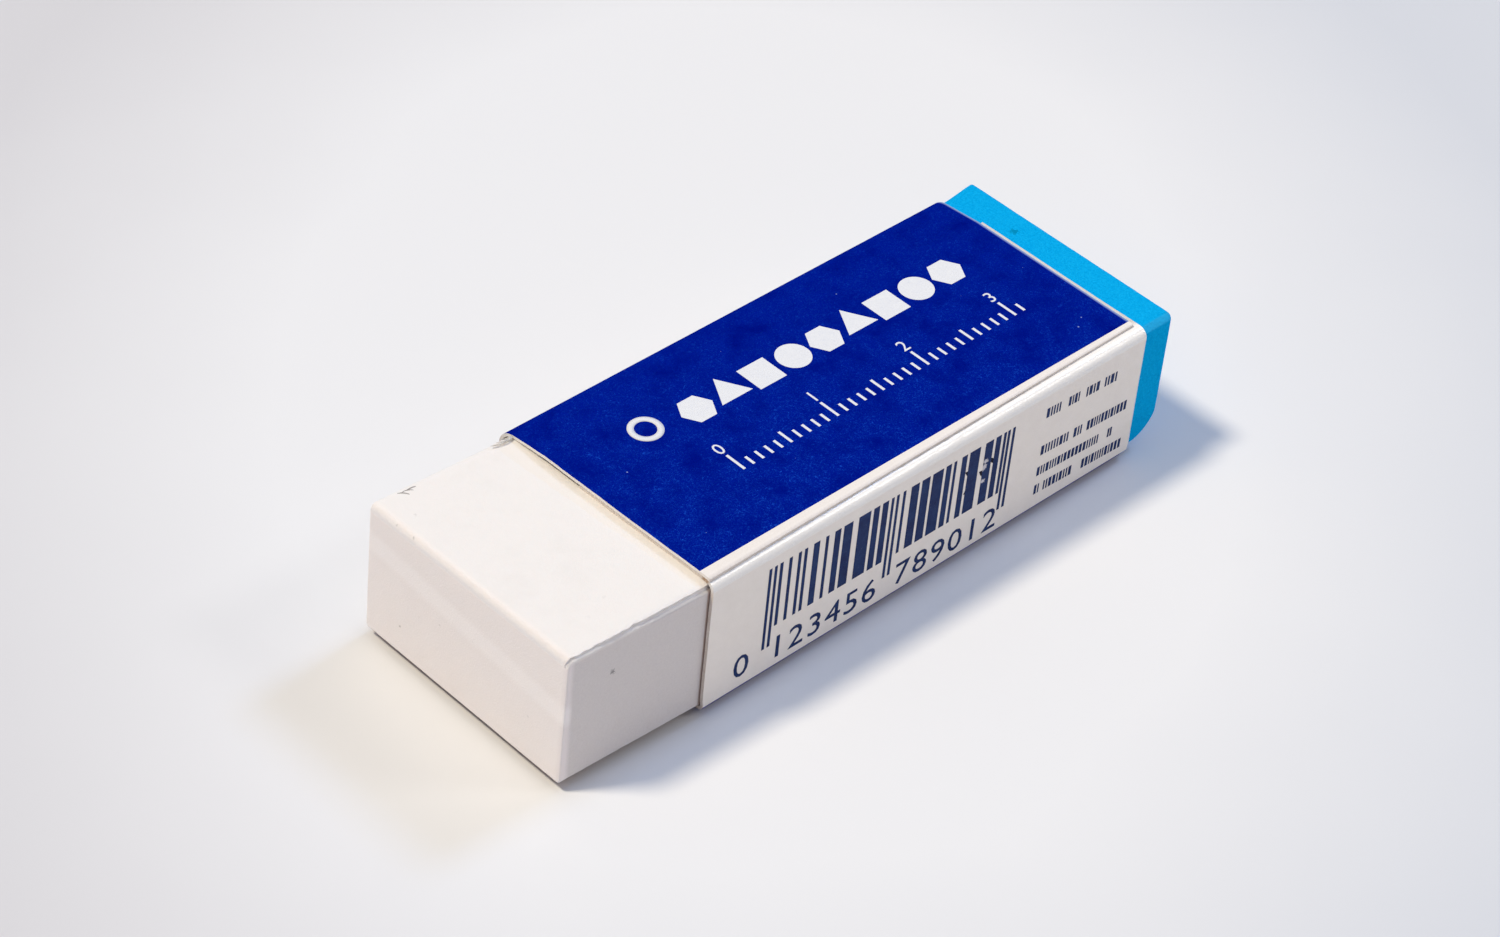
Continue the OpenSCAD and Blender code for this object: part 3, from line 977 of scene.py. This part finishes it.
def lettered(name, words, material, turn):
    """One plain object of flat figures. Each word has its middle, bottom, height
    and breadth, which is its width over its natural width at that height."""
    made = bmesh.new()
    for body, middle, bottom, height, breadth in words:
        text = bpy.data.curves.new(name, "FONT")
        text.body = body
        text.extrude = leaf / 2
        text.resolution_u = 3
        carrier = linked(name + "_word", text)
        shaped = carrier.evaluated_get(bpy.context.evaluated_depsgraph_get())
        mesh = bpy.data.meshes.new_from_object(shaped)
        bpy.data.objects.remove(carrier)
        spots = [vert.co for vert in mesh.vertices]
        low_x, high_x = min(spot.x for spot in spots), max(spot.x for spot in spots)
        low_y, high_y = min(spot.y for spot in spots), max(spot.y for spot in spots)
        growth = height / (high_y - low_y)
        fit = Matrix.Diagonal((growth * breadth, growth, 1, 1))
        centred = Matrix.Translation((-(low_x + high_x) / 2, -low_y, 0))
        mesh.transform(Matrix.Scale(mm, 4) @ turn @ Matrix.Translation((middle, bottom, 0)) @ fit @ centred)
        made.from_mesh(mesh)
    bmesh.ops.remove_doubles(made, verts=made.verts, dist=0.001 * mm)
    bmesh.ops.recalc_face_normals(made, faces=made.faces)
    return piece_of(name, made, material)


number_height = 1.2
scale_words = [(str(k), 10 * k, 2.3, number_height, 1.0) for k in range(4)]
scale_numbers = lettered(
    "scale_numbers", scale_words, card_bare, Matrix.Translation((*scale_start, leaf_level))
)
on_sleeve(scale_numbers)

# Side print
# The near side carries bars of uneven width with a row of figures under them, and
# four short lines of small strokes, all in the dark blue ink. The press laid them
# a little askew. A thumbnail or a key has torn the coat across the bars.

side_level = -(sleeve_side - leaf / 2)
bars_start = -13.07
bars_end = 13.7
bars_top = 11.05
bars_bottom = 4.75
guard_bottom = 2.85
bars_slant = 0.0085
module = (bars_end - bars_start) / 95
words_slant = 0.05
figure_height = 2.2

side_ink, tree, shader, place, grain = new_material(
    "side_ink", 0.12, Roughness=0.6, Specular_IOR_Level=0.15
)
navy = (0.011, 0.04, 0.15)
navy_deep = (0.003, 0.01, 0.075)
coat_through = (0.62, 0.6, 0.66)
torn_spots = [
    ((10.41, side_level, 8.41), 0.5),
    ((10.59, side_level, 8.94), 0.35),
    ((10.54, side_level, 6.92), 0.3),
]
torn = [{"Place": place, "Centre": centre, "Size": size} for centre, size in torn_spots]
torn = [use_group(tree, speck_group, inputs)["Mask"] for inputs in torn]
starved = between(tree, grain["Height"], 0.85, 1.0, 0.0, 0.25)
colour = tinted(tree, grain["Shade"], navy_deep, navy)
colour = tinted(tree, worst_of(tree, torn + [starved]), colour, coat_through)
dress(tree, shader, colour, grain["Height"], 0.01)

run_inputs = [
    ("Bars", INTEGER, 12), ("Widest", INTEGER, 3), ("Widest Gap", INTEGER, 2), ("Start", FLOAT, 0.0),
    ("Width", FLOAT, 10.0), ("Bottom", FLOAT, 4.0), ("Top", FLOAT, 11.0), ("Slant", FLOAT, 0.0),
    ("Seed", INTEGER, 1), ("Thickness", FLOAT, 0.03),
]
run_tree, run_in, run_out = rule("run_of_bars", run_inputs)


def whole_widths(widest, seed):
    """A random whole number of modules for each bar or gap."""
    numbers = node(run_tree, "FunctionNodeRandomValue", data_type="INT")
    numbers.inputs[4].default_value = 1
    run_tree.links.new(widest, numbers.inputs[5])
    run_tree.links.new(seed, numbers.inputs[8])
    return numbers.outputs[2]


bar_modules = whole_widths(run_in["Widest"], run_in["Seed"])
gap_modules = whole_widths(run_in["Widest Gap"], maths(run_tree, "ADD", run_in["Seed"], 50.0))
module_count = maths(run_tree, "ADD", bar_modules, gap_modules)
taken = node(
    run_tree, "GeometryNodeAccumulateField", {"Value": module_count}, data_type="FLOAT"
).outputs
module_width = maths(run_tree, "DIVIDE", run_in["Width"], taken["Total"])
bar_from = product(run_tree, taken["Trailing"], module_width)
bar_left = maths(run_tree, "ADD", run_in["Start"], bar_from)
bar_foot = maths(run_tree, "SUBTRACT", run_in["Bottom"], product(run_tree, bar_from, run_in["Slant"]))
starts = {"Count": run_in["Bars"], "Position": (0, 0, 0)}
starts = {"Geometry": result(run_tree, "GeometryNodePoints", starts)}
starts["Position"] = combined(run_tree, bar_left, side_level, bar_foot)
starts = result(run_tree, "GeometryNodeSetPosition", starts)
unit_size = combined(run_tree, 1.0, run_in["Thickness"], 1.0)
unit = placed_at(run_tree, result(run_tree, "GeometryNodeMeshCube", {"Size": unit_size}), (0.5, 0, 0.5))
bar_height = maths(run_tree, "SUBTRACT", run_in["Top"], run_in["Bottom"])
bar_scale = combined(run_tree, product(run_tree, bar_modules, module_width), 1.0, bar_height)
bars = strewn(run_tree, starts, {"Instance": unit, "Scale": bar_scale})
run_tree.links.new(bars, run_out["Mesh"])


def block_run(bars, widest, widest_gap, first, last, bottom, seed):
    """The values of one run of bars between two of the block's 95 modules."""
    fallen = first * module * bars_slant
    start, width = bars_start + first * module, (last - first) * module
    return bars, widest, widest_gap, start, width, bottom - fallen, bars_top - fallen, bars_slant, seed


runs = [block_run(11, 4, 2, 4, 46, bars_bottom, 11), block_run(11, 4, 2, 50.5, 92.5, bars_bottom, 23)]
runs += [block_run(2, 1, 1, first, first + 4, guard_bottom, 1) for first in (0, 46, 92)]
word_lines = [
    (9.73, 0.95, ((17.4, 19.2), (20.0, 21.4), (22.1, 23.8), (24.3, 25.9))),
    (5.88, 0.95, ((17.4, 20.8), (21.3, 22.4), (22.9, 27.8))),
    (3.75, 0.9, ((17.3, 24.8), (25.8, 26.4))),
    (1.82, 0.95, ((17.3, 18.0), (18.4, 21.9), (23.0, 27.9))),
]
stroke_pitch = 0.38
for bottom, height, line in word_lines:
    for left, right in line:
        low = bottom - (left - line[0][0]) * words_slant
        strokes, width = round((right - left) / stroke_pitch), right - left
        runs.append((strokes, 2, 1, left, width, low, low + height, words_slant, round(left * 10)))

side_tree, side_in, side_out = rule("side_print", [("Thickness", FLOAT, 0.03)])
run_meshes = []
for values in runs:
    named = {label: value for (label, kind, usual), value in zip(run_inputs, values)}
    named["Thickness"] = side_in["Thickness"]
    run_meshes.append(result(side_tree, "GeometryNodeGroup", named, node_tree=run_tree))
end_rule(side_tree, joined(side_tree, run_meshes), side_out, side_ink)
on_sleeve(grown("side_bars", side_tree, {"Thickness": leaf}))

upright = Matrix.Translation((0, side_level, 0)) @ Matrix.Rotation(math.radians(90), 4, "X")
figure_pitch = 7 * module
figure_breadth = 1.12
figure_words = [("0", -15.15, 1.45, figure_height, figure_breadth)]
for k in range(6):
    for first, start in ((1, -11.3), (7, 2.25)):
        middle = start + k * figure_pitch
        figure = str((first + k) % 10)
        bottom = 1.2 - bars_slant * (middle + 12)
        figure_words.append((figure, middle, bottom, figure_height, figure_breadth))
on_sleeve(lettered("side_figures", figure_words, side_ink, upright))


def mottled(name, grain_size, plain, tint, depth, **uniform):
    """A material of two colours that its grain mixes."""
    made, tree, shader, place, grain = new_material(name, grain_size, **uniform)
    dress(tree, shader, tinted(tree, grain["Shade"], plain, tint), grain["Height"], depth)
    return made


torn_black = (0.002, 0.003, 0.022)
torn_brown = (0.03, 0.024, 0.03)
torn_dark = mottled(
    "torn_dark", 0.1, torn_black, torn_brown, 0.02, Roughness=0.75, Specular_IOR_Level=0.1
)

scratch_level = -sleeve_side + 0.002
scratches = [
    ((8.25, 9.0), (8.8, 8.75), (9.1, 8.05), 0.42),
    ((8.4, 6.7), (8.75, 6.75), (9.05, 7.35), 0.34),
    ((9.95, 8.15), (10.45, 7.95), (10.5, 7.3), 0.4),
    ((10.45, 6.95), (10.65, 6.7), (10.7, 6.2), 0.2),
    ((10.45, 9.3), (10.85, 8.9), (10.8, 8.1), 0.17),
    ((11.15, 9.0), (11.4, 8.5), (11.85, 8.2), 0.34),
]
scratch_steps = 8


def add_scratch(made, start, middle, end, width):
    """A closed thin ribbon along a bent line, pointed at both ends."""
    rails = []
    for k in range(scratch_steps + 1):
        t = k / scratch_steps
        spot = Vector(start).lerp(Vector(middle), t).lerp(Vector(middle).lerp(Vector(end), t), t)
        way = (Vector(middle) - Vector(start)).lerp(Vector(end) - Vector(middle), t).normalized()
        half = width / 2 * (0.08 + math.sin(math.pi * t)) * (1 + 0.3 * noise.noise(Vector((*spot, 4))))
        across = Vector((-way.y, way.x)) * half
        ring = []
        for level, side in ((scratch_level, -1), (scratch_level, 1), (side_level, 1), (side_level, -1)):
            place = spot + across * side
            ring.append(made.verts.new(Vector((place.x, level, place.y)) * mm))
        rails.append(ring)
    for ring, following in zip(rails, rails[1:]):
        for i in range(4):
            made.faces.new((ring[i], ring[(i + 1) % 4], following[(i + 1) % 4], following[i]))
    made.faces.new(rails[0])
    made.faces.new(rails[-1])


scratched = bmesh.new()
for scratch in scratches:
    add_scratch(scratched, *scratch)
bmesh.ops.recalc_face_normals(scratched, faces=scratched.faces)
on_sleeve(piece_of("side_scratches", scratched, torn_dark))

# Loose fibres
# The knife and long handling have raised hairs of pulp from the card: a sparse row
# along the glued seam, a few at the cut mouth, and a small tuft at the mouth's far
# corner. They are bent hairs, still rooted in the card.

hair_pale = (0.86, 0.84, 0.79)
hair_grey = (0.5, 0.49, 0.47)
card_hair = mottled(
    "card_hair", 0.3, hair_pale, hair_grey, 0.01, Roughness=0.9, Specular_IOR_Level=0.1
)

hair_tree, hair_in, hair_out = rule(
    "strewn_hairs",
    [("Count", INTEGER, 20), ("Start", VECTOR, (0, 0, 0)), ("End", VECTOR, (1, 0, 0)),
     ("Spread", VECTOR, (0, 0, 0)), ("Shortest", FLOAT, 0.2), ("Longest", FLOAT, 0.5),
     ("Radius", FLOAT, 0.02), ("Heading", FLOAT, 0.0), ("Turn", FLOAT, 1.0), ("Seed", INTEGER, 1),
     ("Finish", "NodeSocketMaterial", None)],
)


def random_number(low, high, seed_shift):
    numbers = node(hair_tree, "FunctionNodeRandomValue", {2: low, 3: high}, data_type="FLOAT")
    hair_tree.links.new(maths(hair_tree, "ADD", hair_in["Seed"], seed_shift), numbers.inputs[8])
    return numbers.outputs[1]


along = random_number(0.0, 1.0, 0.0)
offsets = [random_number(-1.0, 1.0, shift) for shift in (1.0, 2.0, 3.0)]
run_vector = vectors(hair_tree, "SUBTRACT", {0: hair_in["End"], 1: hair_in["Start"]})
root = {0: run_vector, 1: combined(hair_tree, along, along, along), 2: hair_in["Start"]}
root = vectors(hair_tree, "MULTIPLY_ADD", root)
root = {0: combined(hair_tree, *offsets), 1: hair_in["Spread"], 2: root}
root = vectors(hair_tree, "MULTIPLY_ADD", root)
bent = {"Resolution": 6, "Start": (0, 0, 0), "Middle": (0.5, 0.28, 0.05), "End": (1, 0, 0)}
bent_line = result(hair_tree, "GeometryNodeCurveQuadraticBezier", bent)
thin = {"Resolution": 5, "Radius": hair_in["Radius"]}
thin_profile = result(hair_tree, "GeometryNodeCurvePrimitiveCircle", thin)
hair = {"Curve": bent_line, "Profile Curve": thin_profile, "Fill Caps": True}
hair = result(hair_tree, "GeometryNodeCurveToMesh", hair)
length = random_number(hair_in["Shortest"], hair_in["Longest"], 4.0)
back_turn = product(hair_tree, hair_in["Turn"], -1.0)
heading = maths(hair_tree, "ADD", hair_in["Heading"], random_number(back_turn, hair_in["Turn"], 5.0))
facing = combined(hair_tree, random_number(-0.5, 0.5, 6.0), random_number(-0.05, 0.05, 7.0), heading)
facing = result(hair_tree, "FunctionNodeEulerToRotation", {"Euler": facing})
hair = {"Instance": hair, "Rotation": facing, "Scale": combined(hair_tree, length, length, 1.0)}
hairs = strewn(hair_tree, (hair_in["Count"], root), hair)
end_rule(hair_tree, hairs, hair_out, hair_in["Finish"])

seam_hairs = dict(
    Count=60,
    Start=(front_near + 6, seam_front + 0.08, panel_top - 0.15),
    End=(panel_back - 8, seam_back - 0.12, panel_top - 0.15),
    Spread=(0, 0.07, 0.02),
    Shortest=0.12, Longest=0.4, Radius=0.018, Turn=0.7, Seed=3, Finish=card_hair,
)
on_sleeve(grown("seam_hairs", hair_tree, seam_hairs))
mouth_hairs = dict(
    Count=16,
    Start=(front_near - 0.08, -9, lap_top - 0.1),
    End=(front_near - front_skew - 0.02, 9, lap_top - 0.1),
    Spread=(0.03, 0, 0.06),
    Shortest=0.1, Longest=0.3, Radius=0.014, Turn=0.5, Seed=8, Finish=card_hair,
    Heading=math.radians(90),
)
on_sleeve(grown("mouth_hairs", hair_tree, mouth_hairs))
corner_tuft = dict(
    Count=9,
    Start=(sleeve_low.x + 0.1, 10.55, 12.7),
    End=(sleeve_low.x - 0.1, 10.1, 12.76),
    Spread=(0.05, 0.05, 0.04),
    Shortest=0.7, Longest=2.0, Radius=0.022, Turn=0.16, Seed=5, Finish=card_hair,
    Heading=math.radians(172),
)
on_sleeve(grown("corner_tuft", hair_tree, corner_tuft))

# Rubbings are the dark threads that erasing rolls off the vinyl. Three of them
# cling to the far upper edge of the white end.
rolled_dark = (0.2, 0.19, 0.19)
rolled_grey = (0.45, 0.43, 0.42)
rolled_vinyl = mottled(
    "rolled_vinyl", 0.2, rolled_dark, rolled_grey, 0.02, Roughness=0.8, Specular_IOR_Level=0.2
)
rubbings = dict(
    Count=3,
    Start=(white_face + 2.1, white_high.y - 0.4, white_high.z - 0.1),
    End=(white_face + 3.1, white_high.y - 0.75, white_high.z - 0.06),
    Spread=(0.1, 0.12, 0.02),
    Shortest=0.9, Longest=1.7, Radius=0.05, Turn=0.3, Seed=4, Finish=rolled_vinyl,
    Heading=math.radians(-28),
)
rubbing_threads = grown("rubbings", hair_tree, rubbings)
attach(rubbing_threads, "eraser")

# Desk, light and camera
# The eraser lies on a smooth white desk, with a pool of light painted on it that
# darkens and cools further out. A warm lamp stands beyond the white end, a weaker
# cool one beyond the blue end and a faint one on the near side, where the room
# glows pale as well. The camera looks down on the near corner.

floor_half = 3.0
floor_drop = -0.45 * mm
floor_mesh = bpy.data.meshes.new("desk_top")
corners = ((-1, -1), (1, -1), (1, 1), (-1, 1))
corners = [(sx * floor_half, sy * floor_half, floor_drop) for sx, sy in corners]
floor_mesh.from_pydata(corners, [], [(0, 1, 2, 3)])
desk_with_painted_pool, tree, shader, place, grain = new_material(
    "desk_with_painted_pool", 0.2, Roughness=0.7, Specular_IOR_Level=0.2
)
desk_pale = (0.825, 0.83, 0.85)
desk_shaded_left = (0.665, 0.66, 0.685)
desk_shaded_right = (0.655, 0.68, 0.735)
# A pool of light is painted on the desk: pale round the eraser, darker and cooler further out.
pool_turn = (0, 0, math.radians(-47.6))
pool = {"Vector": place, "Location": (11.7, 13.9, 0), "Rotation": pool_turn, "Scale": (1, 1.39, 1)}
pool = result(tree, "ShaderNodeMapping", pool, vector_type="TEXTURE")
cloud = maths(tree, "SUBTRACT", blotches(tree, place, 0.03, 3.0), 0.5)
pool_reach = maths(tree, "MULTIPLY_ADD", cloud, 10.0, vectors(tree, "LENGTH", {0: pool}))
right_share = between(tree, parts(tree, pool)["X"], -40.0, 50.0)
desk_shaded = tinted(tree, right_share, desk_shaded_left, desk_shaded_right)
colour = tinted(tree, between(tree, pool_reach, 40.0, 72.0), desk_pale, desk_shaded)
tree.links.new(colour, shader["Base Color"])
floor_mesh.materials.append(desk_with_painted_pool)
floor = linked("desk_top", floor_mesh)
floor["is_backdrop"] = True

room = bpy.data.worlds.new("room")
room.use_nodes = True
tree = room.node_tree
room_light = tree.nodes["Background"]
room_light.inputs["Strength"].default_value = 1.0
room_cool = (0.3, 0.33, 0.405)
room_warm = (0.385, 0.343, 0.316)
room_low = (0.038, 0.038, 0.042)
near_glow = (0.4, 0.388, 0.395)
axes = parts(tree, node(tree, "ShaderNodeTexCoord").outputs["Generated"])
colour = tinted(tree, between(tree, axes["Y"], -0.3, -0.9), room_cool, room_warm)
colour = tinted(tree, between(tree, axes["Z"], 0.1, 0.6, 0.9, 0.0), colour, room_low)
glow = product(tree, between(tree, axes["Y"], -0.45, -0.75), between(tree, axes["Z"], 0.62, 0.45))
colour = tinted(tree, glow, colour, near_glow)
tree.links.new(colour, room_light.inputs["Color"])
far_wall = result(tree, "ShaderNodeBackground", {"Color": (0.8, 0.81, 0.84, 1), "Strength": 1.0})
ray = node(tree, "ShaderNodeLightPath").outputs
seen = worst_of(tree, [ray[kind] for kind in ("Is Camera Ray", "Is Glossy Ray", "Is Transmission Ray")])
sorted_rays = result(tree, "ShaderNodeMixShader", {0: seen, 1: room_light.outputs[0], 2: far_wall})
tree.links.new(sorted_rays, tree.nodes["World Output"].inputs["Surface"])
bpy.context.scene.world = room


def add_lamp(name, towards, strength, spread, colour):
    """A far lamp in the given direction, as broad as its spread in degrees."""
    lamp = linked(name, bpy.data.lights.new(name, "SUN"))
    lamp.data.energy = strength
    lamp.data.angle = math.radians(spread)
    lamp.data.color = colour
    lamp.rotation_euler = Vector(towards).to_track_quat("Z", "Y").to_euler()


add_lamp("warm_light", (-5.9, 4.5, 12.7), 2.24, 10, (1.0, 0.89, 0.695))
add_lamp("cool_light", (12.1, 0.2, 12.4), 0.753, 12, (0.41, 0.61, 1.0))
add_lamp("side_light", (5.6, -5.05, 6.55), 0.3, 12, (1.0, 0.965, 0.92))

camera_azimuth = math.radians(47.58)
camera_elevation = math.radians(40.38)
camera_roll = math.radians(5.76)
camera_aim = Vector((-2.37, 1.09, 6.6)) * mm
camera_distance = 298 * mm
camera_data = bpy.data.cameras.new("camera")
camera_data.sensor_width = 36
camera_data.lens = 91.84
camera_data.clip_start = 0.01
camera = linked("camera", camera_data)
camera_turn = (
    Matrix.Rotation(-camera_azimuth, 4, "Z")
    @ Matrix.Rotation(math.radians(90) - camera_elevation, 4, "X")
    @ Matrix.Rotation(camera_roll, 4, "Z")
)
camera_back = Matrix.Translation((0, 0, camera_distance))
camera.matrix_world = Matrix.Translation(camera_aim) @ camera_turn @ camera_back
bpy.context.scene.camera = camera
bpy.context.scene.view_settings.view_transform = "Standard"

visual_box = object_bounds()
sizes = {
    "cad": [list(corner) for corner in cad_box],
    "visual": [list(corner) for corner in visual_box],
}
